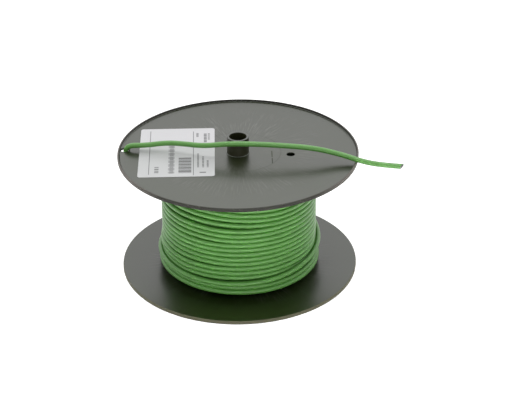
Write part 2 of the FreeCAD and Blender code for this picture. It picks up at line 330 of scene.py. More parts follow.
# %% Group: radial scuffs
RADIAL_CHANGE = 1.6
LINE_EDGE = 0.47
LINE_CORE = 0.68
PATCH_SCALE = 48.0
PATCH_EDGE = 0.36
PATCH_CORE = 0.62
SOFT_INSIDE = 1.5
SOFT_OUTSIDE = 0.7
group, inside, outside = new_group(
    "radial_scuffs",
    [("Vector", "NodeSocketVector", None), ("Inner radius", "NodeSocketFloat", 0.02),
     ("Outer radius", "NodeSocketFloat", 0.06), ("Lines", "NodeSocketFloat", 50.0)],
    [("Mask", "NodeSocketFloat"), ("Radius", "NodeSocketFloat")])
x, y = separate_node(group, inside.outputs["Vector"])[:2]
radius = distance_node(group, combine_node(group, x, y, 0.0), (0, 0, 0))
across = math_node(group, "DIVIDE", x, radius)
along = math_node(group, "DIVIDE", y, radius)
fan = combine_node(group, across, along, times(group, radius, RADIAL_CHANGE))
streaks = noise_node(group, fan, inside.outputs["Lines"], roughness=0.6)
lines = ramp_node(group, streaks, LINE_EDGE, LINE_CORE)
blotches = noise_node(group, inside.outputs["Vector"], PATCH_SCALE)
patches = ramp_node(group, blotches, PATCH_EDGE, PATCH_CORE)
full_inside = times(group, inside.outputs["Inner radius"], SOFT_INSIDE)
ring_in = ramp_node(group, radius, inside.outputs["Inner radius"], full_inside)
full_outside = times(group, inside.outputs["Outer radius"], SOFT_OUTSIDE)
ring_out = ramp_node(group, radius, inside.outputs["Outer radius"], full_outside)
mask = times(group, lines, patches, ring_in, ring_out)
group.links.new(mask, outside.inputs["Mask"])
group.links.new(radius, outside.inputs["Radius"])
radial_scuffs = group
print("node group", group.name)

# %% [markdown]
# Plastic that is pushed or drawn through a die keeps faint lines along its length. Noise over a
# place that is stretched in that direction gives them, and the stretch is an input, so one group
# serves the tube and the wire.

# %% Group: drawn lines
group, inside, outside = new_group(
    "drawn_lines",
    [("Vector", "NodeSocketVector", None), ("Stretch", "NodeSocketVector", (700.0, 700.0, 15.0))],
    [("Height", "NodeSocketFloat")])
stretched = group.nodes.new("ShaderNodeVectorMath")
stretched.operation = "MULTIPLY"
group.links.new(inside.outputs["Vector"], stretched.inputs[0])
group.links.new(inside.outputs["Stretch"], stretched.inputs[1])
group.links.new(noise_node(group, stretched.outputs[0], 1.0, detail=3.0), outside.inputs["Height"])
drawn_lines = group
print("node group", group.name)

# %% [markdown]
# Print on a label is ink in straight bars: a rule is one bar, and a row of small print looks like a
# dashed bar from a metre away. One group gives the mask of a bar between two corners, with a pitch
# at which it breaks up along its second side. It is soft at the edges by a twentieth of a
# millimetre, as ink is.

# %% Group: printed bar
INK_BLUR = 0.05 * MM
group, inside, outside = new_group(
    "printed_bar",
    [("Vector", "NodeSocketVector", None), ("Centre", "NodeSocketVector", (0, 0, 0)),
     ("Half size", "NodeSocketVector", (0.001, 0.001, 0)), ("Pitch", "NodeSocketFloat", 1.0),
     ("Share", "NodeSocketFloat", 1.0)],
    [("Mask", "NodeSocketFloat")])
offset = group.nodes.new("ShaderNodeVectorMath")
offset.operation = "SUBTRACT"
group.links.new(inside.outputs["Vector"], offset.inputs[0])
group.links.new(inside.outputs["Centre"], offset.inputs[1])
place = separate_node(group, offset.outputs[0])
half_size = separate_node(group, inside.outputs["Half size"])
inner = []
for axis in (0, 1):
    depth = math_node(group, "SUBTRACT", half_size[axis], math_node(group, "ABSOLUTE", place[axis]))
    inner.append(ramp_node(group, depth, -INK_BLUR, INK_BLUR))
cell = math_node(group, "DIVIDE", place[1], inside.outputs["Pitch"])
inked = math_node(group, "LESS_THAN", math_node(group, "FRACT", cell), inside.outputs["Share"])
bar = times(group, inner[0], inner[1], inked)
group.links.new(bar, outside.inputs["Mask"])
printed_bar = group
print("node group", group.name)

# %% [markdown]
# Each finish below is a material with one Principled shader. All its nodes could be written out one
# by one, but every finish needs the same few steps: it places a group, mixes two colours, and sets
# the roughness and the bump. These helpers do them, so a material reads as a list of its effects.

# %% Material helpers
def new_material(name):
    """A material with a Principled shader; returns the material, its tree and the shader."""
    material = bpy.data.materials.new(name)
    material.use_nodes = True
    tree = material.node_tree
    return material, tree, tree.nodes["Principled BSDF"]


def use_group(tree, group, vector, **values):
    """Places a group in a tree with its vector linked and its other inputs set."""
    node = tree.nodes.new("ShaderNodeGroup")
    node.node_tree = group
    tree.links.new(vector, node.inputs["Vector"])
    for name, value in values.items():
        node.inputs[name.replace("_", " ")].default_value = value
    return node


def object_place(tree):
    """Socket with the point in the object's own metres, which move with the piece."""
    return tree.nodes.new("ShaderNodeTexCoord").outputs["Object"]


def mix_colour(tree, factor, first, second):
    """Socket between two colours; each is a socket or three numbers."""
    node = tree.nodes.new("ShaderNodeMix")
    node.data_type = "RGBA"
    tree.links.new(factor, node.inputs["Factor"])
    for name, colour in (("A", first), ("B", second)):
        socket = [s for s in node.inputs if s.name == name and s.type == "RGBA"][0]
        if isinstance(colour, tuple):
            socket.default_value = (*colour, 1)
        else:
            tree.links.new(colour, socket)
    return [s for s in node.outputs if s.type == "RGBA"][0]


def add_bump(tree, shader, height, distance):
    """Feeds a height socket through a Bump node to the shader's normal."""
    bump = tree.nodes.new("ShaderNodeBump")
    bump.inputs["Distance"].default_value = distance
    bump.inputs["Strength"].default_value = 1.0
    tree.links.new(height, bump.inputs["Height"])
    tree.links.new(bump.outputs["Normal"], shader.inputs["Normal"])


def set_roughness(tree, shader, change, amount, base):
    """Roughness that starts at base and grows by amount where change is 1."""
    rough = math_node(tree, "MULTIPLY_ADD", change, amount, base)
    tree.links.new(rough, shader.inputs["Roughness"])


def mottled(name, scale, contrast, dark, pale, rough, rough_change, bump):
    """A material that changes slowly between two colours, and in its roughness and height."""
    material, tree, shader = new_material(name)
    place = object_place(tree)
    change = use_group(tree, slow_change, place, Scale=scale, Contrast=contrast).outputs["Value"]
    tree.links.new(mix_colour(tree, change, dark, pale), shader.inputs["Base Color"])
    set_roughness(tree, shader, change, rough_change, rough)
    add_bump(tree, shader, change, bump)
    return material


def dress(name, material):
    """Gives a CAD node one material."""
    mesh = nodes[name].data
    mesh.materials.clear()
    mesh.materials.append(material)
    print("%s: %s" % (name, material.name))


# %% [markdown]
# The flanges are moulded in black plastic with a satin face. In the photograph the face looks mid
# grey, not black: seen this flat, it mirrors the white tent. A grey colour would give the same
# brightness, but the reflections of the tube, the wire and the winding would be lost in it. So the
# colour stays nearly black, the grey is all reflection, and the roughness blurs what is further
# from the face more than what touches it. The scuffs show most behind the tube, so they grow
# stronger towards the back.

# %% Material: moulded black plastic
BACK_STARTS = -30 * MM
BACK_FULL = 30 * MM
SCUFFS_IN_FRONT = 0.40
SCUFFS_MORE_BEHIND = 0.25
DUST = 0.2
flange_plastic, tree, shader = new_material("moulded_black")
place = object_place(tree)
x, y, z = separate_node(tree, place)
change = use_group(tree, slow_change, place, Scale=28.0, Contrast=1.3).outputs["Value"]
scuffs = use_group(tree, radial_scuffs, place, Inner_radius=0.012, Outer_radius=0.068, Lines=52.0)
specks = use_group(tree, dust_specks, place, Scale=420.0, Share=0.36).outputs["Mask"]
# painted reflection: the faint green in this black stands for the green winding mirrored in the face
black = mix_colour(tree, change, (0.0080, 0.0120, 0.0012), (0.0110, 0.0160, 0.0030))
behind = ramp_node(tree, y, BACK_STARTS, BACK_FULL)
strength = math_node(tree, "MULTIPLY_ADD", behind, SCUFFS_MORE_BEHIND, SCUFFS_IN_FRONT)
scuffed = times(tree, scuffs.outputs["Mask"], strength)
marked = mix_colour(tree, scuffed, black, (0.13, 0.13, 0.12))
dusty = mix_colour(tree, times(tree, specks, DUST), marked, (0.25, 0.24, 0.23))
print("scuffs grow from y = %.0f mm to y = %.0f mm" % (BACK_STARTS / MM, BACK_FULL / MM))

# %% [markdown]
# The two holes near the rims are drilled, not moulded. The drill leaves a matt wall and a matt ring
# round it, which mirror nothing. Both are also painted darker than the face: painted shade, the
# shade that falls into each hole and round its edge. The mask comes from the distance to each
# hole's axis, and the point's height says which flange it is on.

# %% Finish of the drilled holes, with painted shade
RIM_HOLE_RADIUS = 75.55 * MM
UPPER_RIM_HOLE_ANGLE = 175.9
LOWER_RIM_HOLE_ANGLE = 95.0
MATT_RADIUS = 3.3 * MM
MATT_END = 3.8 * MM


def at_angle(radius, degrees):
    """The x and y of a point at a radius and at an angle about the spool's axis."""
    turn = math.radians(degrees)
    return radius * math.cos(turn), radius * math.sin(turn)


on_upper = math_node(tree, "GREATER_THAN", z, mid_height)
on_lower = math_node(tree, "SUBTRACT", 1.0, on_upper)
level_place = combine_node(tree, x, y, 0.0)
matt_rings = []
for hole_angle, on_flange in ((UPPER_RIM_HOLE_ANGLE, on_upper), (LOWER_RIM_HOLE_ANGLE, on_lower)):
    hole_axis = (*at_angle(RIM_HOLE_RADIUS, hole_angle), 0)
    near_hole = ramp_node(tree, distance_node(tree, level_place, hole_axis), MATT_END, MATT_RADIUS)
    matt_rings.append(times(tree, near_hole, on_flange))
drilled_and_shaded = math_node(tree, "MAXIMUM", *matt_rings)
# painted shade: the walls and rings of the drilled holes are painted darker than the face
tree.links.new(mix_colour(tree, drilled_and_shaded, dusty, (0.004, 0.005, 0.002)), shader.inputs["Base Color"])
print("drilled holes: %d" % len(matt_rings))

# %% [markdown]
# A faint ring shows on the face above the barrel, and a short broken line right of the tube. Both
# are shallow grooves, so they go into the roughness and the height, and not into the colour. The
# drilled rings and the scuffs are rougher than the moulded skin too.

# %% Marks and roughness of the flanges
BARREL_RADIUS = 28.4 * MM
FACE_ROUGHNESS = 0.29
SCUFF_ROUGHNESS = 0.15
DRILLED_ROUGHNESS = 0.5
MARK_ROUGHNESS = 0.5
SCUFF_HEIGHT = 0.3
MARK_HEIGHT = -4.0
off_ring = math_node(tree, "SUBTRACT", scuffs.outputs["Radius"], BARREL_RADIUS)
ring_line = ramp_node(tree, math_node(tree, "ABSOLUTE", off_ring), 0.6 * MM, 0.2 * MM)
ring_mark = times(tree, ring_line, change, 0.4)
straight_mark = use_group(tree, printed_bar, place, Centre=(22.4 * MM, -8.0 * MM, 0),
                          Half_size=(0.3 * MM, 9.0 * MM, 0), Pitch=11.0 * MM, Share=0.86)
marks = math_node(tree, "MAXIMUM", ring_mark, straight_mark.outputs["Mask"])
rough = math_node(tree, "MULTIPLY_ADD", change, 0.04, FACE_ROUGHNESS)
rough = math_node(tree, "MULTIPLY_ADD", scuffs.outputs["Mask"], SCUFF_ROUGHNESS, rough)
rough = math_node(tree, "MULTIPLY_ADD", drilled_and_shaded, DRILLED_ROUGHNESS, rough)
rough = math_node(tree, "MULTIPLY_ADD", marks, MARK_ROUGHNESS, rough)
tree.links.new(rough, shader.inputs["Roughness"])
shader.inputs["IOR"].default_value = 1.5
shader.inputs["Specular IOR Level"].default_value = 0.52
orange_peel = noise_node(tree, place, 900.0)
height = math_node(tree, "MULTIPLY_ADD", scuffs.outputs["Mask"], SCUFF_HEIGHT, orange_peel)
height = math_node(tree, "MULTIPLY_ADD", marks, MARK_HEIGHT, height)
add_bump(tree, shader, height, 0.002 * MM)
dress("lower_flange", flange_plastic)
dress("upper_flange", flange_plastic)

# %% [markdown]
# The rims take the knocks: they rub on the shelf, on the next spool and in the hand. They are dull
# and a little brown, and far darker than the face, because a rubbed skin mirrors nothing. Their
# outer part is paler towards the left and right. The lower rim is painted paler all round: painted
# light, as the white table lights it from below. The corner between the upper rim and the face is
# painted paler too, as a painted highlight. So every polygon of a rim gets a second, matt finish,
# with a mask for each of these places.

# %% Material: rubbed rim, with painted light
PALER_STARTS = 42 * MM
PALER_FULL = 74 * MM
WALL_RADIUS = 78.75 * MM
TOP_RADIUS = 78.90 * MM
EDGE_RADIUS = 79.25 * MM
CORNER_LIGHT_TOP = 0.7 * MM
CORNER_LIGHT_FULL = 0.1 * MM
NICK_EDGE = 0.64
NICK_CORE = 0.76
RIM_ROUGHNESS = 0.5
rim_plastic, tree, shader = new_material("rubbed_rim_and_painted_light")
place = object_place(tree)
x, y, z = separate_node(tree, place)
change = use_group(tree, slow_change, place, Scale=90.0, Contrast=1.6).outputs["Value"]
dull = mix_colour(tree, change, (0.017, 0.017, 0.013), (0.027, 0.026, 0.020))
pale = mix_colour(tree, change, (0.095, 0.088, 0.078), (0.130, 0.118, 0.104))
# painted light: the lower rim is painted paler all round, as the white table lights it from below
painted_table_light = mix_colour(tree, change, (0.085, 0.083, 0.050), (0.115, 0.111, 0.070))
radius = distance_node(tree, combine_node(tree, x, y, 0.0), (0, 0, 0))
outer_part = ramp_node(tree, radius, TOP_RADIUS, EDGE_RADIUS)
# the outer part of each rim is paler towards the left and right
toward_sides = ramp_node(tree, math_node(tree, "ABSOLUTE", x), PALER_STARTS, PALER_FULL)
rim_tone_and_painted_light = mix_colour(tree, times(tree, toward_sides, outer_part), dull, pale)
low_rim = math_node(tree, "LESS_THAN", z, 2 * lower_inner_face)
rim_tone_and_painted_light = mix_colour(tree, times(tree, low_rim, outer_part), rim_tone_and_painted_light, painted_table_light)
# painted highlight: the foot of the upper rim's inner wall, at the corner with the face, is painted
# paler
foot = ramp_node(tree, z, upper_face + CORNER_LIGHT_TOP, upper_face + CORNER_LIGHT_FULL)
inner_wall = ramp_node(tree, radius, TOP_RADIUS, WALL_RADIUS)
corner = times(tree, foot, inner_wall)
corner = times(tree, math_node(tree, "SUBTRACT", 1.0, low_rim), corner)
rim_tone_and_painted_light = mix_colour(tree, corner, rim_tone_and_painted_light, (0.085, 0.088, 0.085))
nicks = noise_node(tree, place, 700.0, detail=3.0, roughness=0.6)
nicked = mix_colour(tree, ramp_node(tree, nicks, NICK_EDGE, NICK_CORE), rim_tone_and_painted_light, (0.11, 0.105, 0.09))
tree.links.new(nicked, shader.inputs["Base Color"])
set_roughness(tree, shader, change, 0.1, RIM_ROUGHNESS)
shader.inputs["Specular IOR Level"].default_value = 0.2
add_bump(tree, shader, nicks, 0.01 * MM)
print("rims paler from %.0f mm to the side" % (PALER_STARTS / MM))

# %% Polygons of the rims
RIM_WIDTH = 1.32 * MM
for name in ("lower_flange", "upper_flange"):
    mesh = nodes[name].data
    mesh.materials.append(rim_plastic)
    count = 0
    for polygon in mesh.polygons:
        if all(mesh.vertices[v].co.xy.length > flange_radius - RIM_WIDTH for v in polygon.vertices):
            polygon.material_index = 1
            count += 1
    print("%s: %d rim polygons" % (name, count))

# %% [markdown]
# The centre tube and the barrel are cut from extruded tube, which is duller than a moulding and has
# faint lines along its length from the die. The tube's sawn top end is pale: the saw breaks the
# skin and leaves fine marks across it. Its pale colour is partly its own and partly painted sheen,
# the reflection that its flat end gives.

# %% Material: extruded black plastic
SAWN_STARTS = tube_top - 0.25 * MM
SAWN_FULL = tube_top - 0.08 * MM
TUBE_ROUGHNESS = 0.36
tube_plastic, tree, shader = new_material("extruded_black")
place = object_place(tree)
change = use_group(tree, slow_change, place, Scale=60.0, Contrast=1.2).outputs["Value"]
die_lines = use_group(tree, drawn_lines, place, Stretch=(700.0, 700.0, 15.0)).outputs["Height"]
saw_marks = use_group(tree, drawn_lines, place, Stretch=(300.0, 4000.0, 1.0)).outputs["Height"]
skin = mix_colour(tree, change, (0.0145, 0.0155, 0.0030), (0.0195, 0.0205, 0.0060))
# painted sheen: the sawn end's pale colour partly stands for the reflection of its flat face
sawn_with_painted_sheen = mix_colour(tree, saw_marks, (0.025, 0.027, 0.022), (0.075, 0.080, 0.066))
top = ramp_node(tree, separate_node(tree, place)[2], SAWN_STARTS, SAWN_FULL)
tree.links.new(mix_colour(tree, top, skin, sawn_with_painted_sheen), shader.inputs["Base Color"])
set_roughness(tree, shader, change, 0.1, TUBE_ROUGHNESS)
shader.inputs["Specular IOR Level"].default_value = 0.5
add_bump(tree, shader, die_lines, 0.02 * MM)
dress("centre_tube", tube_plastic)
dress("barrel", tube_plastic)

# %% [markdown]
# The label is thin white paper with a slight sheen, stuck a little askew. Its front half is greyer,
# and that is painted shade. From a metre away, print is rules, stripes and rows of dashes, so each
# of them is a printed bar in grey ink. A picture of the print could be stuck on instead, but bars
# stay sharp at any distance. The ink lies a little askew on the paper too, so all bars share one
# turned place.

# %% Material: label paper
GREY_STARTS = 17 * MM
GREY_FULL = 8 * MM
INK_TURN = -1.0
PAPER_ROUGHNESS = 0.42
paper, tree, shader = new_material("label_paper")
place = object_place(tree)
fibres = noise_node(tree, place, 2600.0, detail=4.0, roughness=0.7)
change = use_group(tree, slow_change, place, Scale=40.0, Contrast=1.0).outputs["Value"]
clean = mix_colour(tree, change, (0.58, 0.575, 0.59), (0.61, 0.605, 0.62))
# painted shade: the front half of the label is painted greyer
front_half = ramp_node(tree, separate_node(tree, place)[1], GREY_STARTS, GREY_FULL)
paper_with_painted_shade = mix_colour(tree, front_half, clean, (0.465, 0.472, 0.472))
turned_place = tree.nodes.new("ShaderNodeVectorRotate")
turned_place.rotation_type = "Z_AXIS"
turned_place.inputs["Angle"].default_value = math.radians(INK_TURN)
tree.links.new(place, turned_place.inputs["Vector"])
# corners in millimetres (x0, y0, x1, y1), then pitch and inked share along y, then darkness
BARS = [
    (-58.85, -29.5, -58.35, 33.5, 200.0, 1.0, 0.7),
    (-29.85, -31.5, -29.35, 32.0, 200.0, 1.0, 0.7),
    (-39.3, -28.2, -30.9, -6.5, 1.1, 0.55, 0.80),
    (-39.3, -28.2, -30.9, -6.5, 4.6, 0.35, 0.62),
    (-46.1, -28.5, -41.9, 11.5, 5.3, 0.72, 0.36),
    (-45.2, -28.5, -42.6, 17.0, 1.9, 0.62, 0.66),
    (-55.0, -28.5, -52.2, -19.0, 3.4, 0.7, 0.6),
    (-27.2, -20.7, -25.9, -0.9, 1.7, 0.7, 0.75),
    (-23.9, -20.9, -22.6, -5.4, 2.1, 0.72, 0.7),
    (-20.9, -20.9, -19.6, -11.0, 1.9, 0.7, 0.75),
    (-25.6, -28.6, -21.4, -27.1, 200.0, 1.0, 0.7),
    (-27.7, 23.5, -26.1, 29.5, 1.6, 0.7, 0.75),
    (-22.6, 15.3, -20.6, 29.0, 2.3, 0.75, 0.75),
    (-19.9, 19.0, -18.5, 29.0, 1.8, 0.7, 0.6),
]
ink = 0.0
for x0, y0, x1, y1, pitch, share, darkness in BARS:
    bar = use_group(tree, printed_bar, turned_place.outputs["Vector"],
                    Centre=((x0 + x1) / 2 * MM, (y0 + y1) / 2 * MM, 0),
                    Half_size=((x1 - x0) / 2 * MM, (y1 - y0) / 2 * MM, 0),
                    Pitch=pitch * MM, Share=share)
    ink = math_node(tree, "MAXIMUM", ink, times(tree, bar.outputs["Mask"], darkness))
tree.links.new(mix_colour(tree, ink, paper_with_painted_shade, (0.02, 0.02, 0.022)), shader.inputs["Base Color"])
set_roughness(tree, shader, fibres, 0.1, PAPER_ROUGHNESS)
shader.inputs["Specular IOR Level"].default_value = 0.2
add_bump(tree, shader, fibres, 0.01 * MM)
dress("label", paper)
print("label: %d printed bars" % len(BARS))

# %% [markdown]
# The stranded conductor shows in the cut end, and there the photograph is grey with a breath of
# violet, not orange: the strands are tinned and dull. It is metal, so its colour goes into the
# reflection, and fine mottling stands for the strands being cut at slightly different angles.

# %% Material: tinned copper
tinned = mottled("tinned_copper", 900.0, 1.4, (0.18, 0.175, 0.175), (0.26, 0.25, 0.245),
                 0.22, 0.15, 0.02 * MM)
tinned.node_tree.nodes["Principled BSDF"].inputs["Metallic"].default_value = 1.0
dress("conductor_strands", tinned)

# %% [markdown]
# The wire's insulation is soft green plastic with a satin skin. It was drawn through a die, so any
# marks on it run along the wire. The wire's meshes carry a map with the place around and along the
# wire, and the fine lines follow that map; the slow change of colour and the dust follow the place
# in the piece. A map by position alone would run the fine lines straight through the turns like wood
# grain.

# %% Material: green insulation
RUBBED_EDGE = 0.62
RUBBED_CORE = 0.80
WIRE_DUST = 0.12
WIRE_ROUGHNESS = 0.29
insulation, tree, shader = new_material("green_insulation")
wire_map = tree.nodes.new("ShaderNodeUVMap")
wire_map.uv_map = "wire_map"
place = object_place(tree)
change = use_group(tree, slow_change, place, Scale=120.0, Contrast=1.2).outputs["Value"]
stretched = use_group(tree, drawn_lines, wire_map.outputs["UV"], Stretch=(14.0, 40.0, 1.0))
die_lines = stretched.outputs["Height"]
specks = use_group(tree, dust_specks, place, Scale=700.0, Share=0.3).outputs["Mask"]
tone = mix_colour(tree, change, (0.081, 0.254, 0.041), (0.101, 0.286, 0.055))
ridges = ramp_node(tree, die_lines, RUBBED_EDGE, RUBBED_CORE)
rubbed = mix_colour(tree, ridges, tone, (0.105, 0.290, 0.062))
dusty = mix_colour(tree, times(tree, specks, WIRE_DUST), rubbed, (0.35, 0.42, 0.30))
tree.links.new(dusty, shader.inputs["Base Color"])
set_roughness(tree, shader, die_lines, 0.1, WIRE_ROUGHNESS)
add_bump(tree, shader, die_lines, 0.02 * MM)
print("insulation: lines follow the map", wire_map.uv_map)

# %% [markdown]
# Where the wire is cut, the insulation has no skin. The cutter has smeared it with metal, and in
# the photograph the cut face is a pale greyish green, so it gets a matt finish of its own.

# %% Material: cut wire
cut_wire = mottled("cut_wire", 1500.0, 1.6, (0.09, 0.12, 0.09), (0.17, 0.19, 0.17),
                   0.45, 0.2, 0.02 * MM)
print("materials:", [m.name for m in bpy.data.materials])


# %% [markdown]
# Wire is a round section carried along a line. A curve with a bevel would do, but a mesh tube can
# also carry the wire map and a proper cut end. The section is moved from point to point with the
# least possible twist, so that lines along the wire stay straight.

# %% Rings along a line
CUT_CLEARANCE = 0.4


def rings_along(points, radius):
    """Rings (place, direction, side, radius, metres along the line), one at each point."""
    directions = []
    for index in range(len(points)):
        before = points[max(index - 1, 0)]
        after = points[min(index + 1, len(points) - 1)]
        directions.append((after - before).normalized())
    side = directions[0].cross(Vector((0, 0, 1))).normalized()
    rings = []
    travelled = 0.0
    for index, (point, direction) in enumerate(zip(points, directions)):
        if index:
            side = directions[index - 1].rotation_difference(direction) @ side
            travelled += (point - points[index - 1]).length
        side = (side - direction * side.dot(direction)).normalized()
        rings.append((point, direction, side.copy(), radius, travelled))
    return rings


def cut_off(rings, end_rings, slant):
    """Puts end rings of (distance past the end, radius) in place of what a slanted cut takes away."""
    end, direction, side, radius, travelled = rings[-1]
    reach = radius * (slant.length + CUT_CLEARANCE)
    while (rings[-1][0] - end).length < reach:
        rings.pop()
    for distance, ring_radius in end_rings:
        rings.append((end + direction * distance, direction, side, ring_radius, travelled + distance))


# %% Wire tube
def map_wire(mesh, rings, sides):
    """Adds the map with the share of a turn round the wire and the metres along it."""
    layer = mesh.uv_layers.new(name="wire_map")
    for polygon in mesh.polygons:
        for corner, vertex in zip(polygon.loop_indices, polygon.vertices):
            step = vertex % sides
            if step == 0 and any(v % sides == sides - 1 for v in polygon.vertices):
                step = sides
            layer.data[corner].uv = (step / sides, rings[vertex // sides][4])


def tube_mesh(name, points, radius, sides, end_rings=(), slant=Vector((0, 0, 0))):
    """Round tube along points; end rings and a slant give it a cut face at its end."""
    rings = rings_along(points, radius)
    if end_rings:
        cut_off(rings, end_rings, slant)
    vertices = []
    for index, (point, direction, side, ring_radius, travelled) in enumerate(rings):
        other = direction.cross(side)
        for step in range(sides):
            turn = 2 * math.pi * step / sides
            offset = ring_radius * (math.cos(turn) * side + math.sin(turn) * other)
            vertices.append(point + offset)
            if index >= len(rings) - len(end_rings):
                vertices[-1] += direction * slant.dot(offset)
    faces = []
    for first in range(0, len(vertices) - sides, sides):
        second = first + sides
        for step in range(sides):
            after = (step + 1) % sides
            faces.append((first + step, first + after, second + after, second + step))
    faces.append(tuple(reversed(range(sides))))
    faces.append(tuple(range(len(vertices) - sides, len(vertices))))
    mesh = bpy.data.meshes.new(name)
    mesh.from_pydata(vertices, [], faces)
    mesh.polygons.foreach_set("use_smooth", [True] * (len(faces) - 2) + [False, False])
    mesh.materials.append(insulation)
    map_wire(mesh, rings, sides)
    piece = bpy.data.objects.new(name, mesh)
    scene.collection.objects.link(piece)
    print("%s: %d rings, %d faces" % (name, len(rings), len(faces)))
    return piece


# %% [markdown]
# The winding is one long wire. A plain helix would fall by one wire at a steady rate, but a real one
# wanders: here the turns near the top slope down across the front, and the lower ones lie level
# there and fall round the back. A formula with a creeping step comes close. The heights below
# follow the photograph better: they were fitted, outside this script, to the dark lines between
# the turns at five places across the front, and turns that touch were kept about one wire apart.
# A smooth curve through them joins the turns round the back.

# %% Turns of the outer layer
WIRE = 3.5 * MM
WOUND_WIRE = 3.42 * MM
# from here, radii and heights on the drum are in millimetres, and on_drum makes metres of them
LAYER_RADIUS = 50.5

# azimuths across the front, from left to right, and each turn's fitted height there, in millimetres
front_azimuths = (-140, -120, -90, -60, -38)
turn_heights = [
    (80.6, 80.3, 78.6, 76.7, 76.0),
    (76.6, 76.4, 74.9, 73.0, 72.3),
    (73.0, 73.0, 71.2, 69.3, 68.7),
    (69.4, 69.4, 67.5, 65.6, 65.1),
    (65.8, 65.9, 64.0, 62.0, 61.7),
    (62.4, 62.1, 60.6, 58.6, 58.3),
    (57.9, 57.8, 56.6, 55.1, 54.8),
    (53.1, 53.1, 52.1, 51.7, 51.4),
    (49.7, 49.6, 48.6, 48.3, 48.0),
    (45.7, 45.9, 45.1, 44.8, 44.6),
    (41.8, 41.8, 41.7, 41.4, 41.2),
    (38.4, 38.4, 38.3, 38.0, 37.7),
    (35.0, 35.0, 34.8, 34.6, 34.3),
    (31.3, 31.4, 31.2, 31.2, 30.9),
    (27.4, 27.9, 27.8, 27.7, 27.5),
    (23.0, 23.7, 24.2, 24.3, 24.1),
    (19.4, 20.2, 20.7, 20.6, 20.4),
    (15.9, 16.8, 17.3, 17.2, 16.8),
    (12.2, 13.0, 13.3, 13.4, 13.1),
    (8.7, 9.3, 9.7, 9.8, 9.7),
    (5.1, 5.6, 6.1, 6.2, 6.0),
]
# the last turns lie a little deeper, where the turns on top of them press them in
turn_radii = [LAYER_RADIUS] * 18 + [49.4, 49.3, 49.8]

# station: angle that keeps counting through the turns, radius and height in millimetres
stations = [(-270, LAYER_RADIUS, 80.9)]
for turn, (radius, heights) in enumerate(zip(turn_radii, turn_heights)):
    for azimuth, height in zip(front_azimuths, heights):
        stations.append((360 * turn + azimuth, radius, height))
print("outer layer: %d turns" % len(turn_heights))

# %% [markdown]
# At the lower flange the wire climbs on to its own layer. It lies there for nearly three turns, the
# middle one sunk a little between its neighbours, and then rises round the back to the hole in the
# upper flange. These stations go on from the turns above: the climb, the turns over the layer, and
# the rise.

# %% Turns over the layer, and the rise
# the free end starts here, where the last turn leaves the drum at a tangent
tail_start_mm = Vector((-38.08, 38.71, 62.94))
lowest = 360 * (len(turn_heights) - 1)
stations += [
    (lowest + 20, 50.6, 5.4),
    (lowest + 50, 52.0, 5.6),
    (lowest + 80, 53.0, 6.3),
    (lowest + 130, 53.2, 7.3),
    (lowest + 183, 53.0, 8.0),
    (lowest + 220, 53.2, 8.2),
    (lowest + 270, 53.3, 7.8),
    (lowest + 312, 53.3, 7.6),
    (lowest + 357, 52.8, 7.9),
    (lowest + 450, 52.5, 10.0),
    (lowest + 543, 52.4, 11.3),
    (lowest + 580, 52.4, 11.2),
    (lowest + 630, 52.3, 10.95),
    (lowest + 672, 52.4, 10.7),
    (lowest + 717, 52.4, 11.3),
    (lowest + 810, 52.9, 13.5),
    (lowest + 880, 53.6, 14.6),
    (lowest + 903, 53.7, 14.9),
    (lowest + 930, 53.6, 14.4),
    (lowest + 990, 53.6, 14.35),
    (lowest + 1020, 53.6, 15.4),
    (lowest + 1042, 53.6, 17.1),
    (lowest + 1077, 53.7, 19.8),
    (lowest + 1100, 53.8, 23.2),
    (lowest + 1125, 53.9, 29.0),
    (lowest + 1155, 54.1, 40.2),
    (lowest + 1185, 54.2, 53.5),
]
end_azimuth = math.degrees(math.atan2(tail_start_mm.y, tail_start_mm.x))
stations.append((lowest + 3 * 360 + end_azimuth, tail_start_mm.xy.length, tail_start_mm.z))
print("stations: %d, over %.0f degrees" % (len(stations), stations[-1][0] - stations[0][0]))


# %% A smooth curve through the stations
def station_value(index, share, column):
    """Value a share of the way past a station, on a smooth curve through all of them."""
    before = stations[max(index - 1, 0)]
    first = stations[index]
    second = stations[index + 1]
    after = stations[min(index + 2, len(stations) - 1)]
    width = second[0] - first[0]
    slope_in = width * (second[column] - before[column]) / (second[0] - before[0])
    slope_out = width * (after[column] - first[column]) / (after[0] - first[0])
    square = share * share
    cube = square * share
    ends = first[column] * (2 * cube - 3 * square + 1) + second[column] * (3 * square - 2 * cube)
    return ends + slope_in * (cube - 2 * square + share) + slope_out * (cube - square)


def on_drum(radius, angle, height):
    """Point at a radius and a height in millimetres and an angle in degrees, in metres."""
    return Vector((*at_angle(radius, angle), height)) * MM


# %% [markdown]
# Two small things keep the turns from looking machined. On the left the real winding swells a
# little, low down, and a bell-shaped bulge in angle and height gives that. And every turn wanders
# by a tenth of a millimetre, which is noise that changes slowly along the wire. Random offsets at
# each point would look like dents instead.

# %% The winding
WINDING_STEP = 5.0
WANDER = 0.1
BULGE = 1.3
BULGE_ANGLE = 182.0
BULGE_WIDTH = 22.0
BULGE_HEIGHT = 21.5
BULGE_REACH = 5.0
layer_stations = len(turn_heights) * len(front_azimuths)


def swelling(angle, height):
    """How far the layer stands out at an angle in degrees and a height in millimetres."""
    aside = (angle - BULGE_ANGLE + 180) % 360 - 180
    return BULGE * math.exp(-(aside / BULGE_WIDTH) ** 2 - ((height - BULGE_HEIGHT) / BULGE_REACH) ** 2)


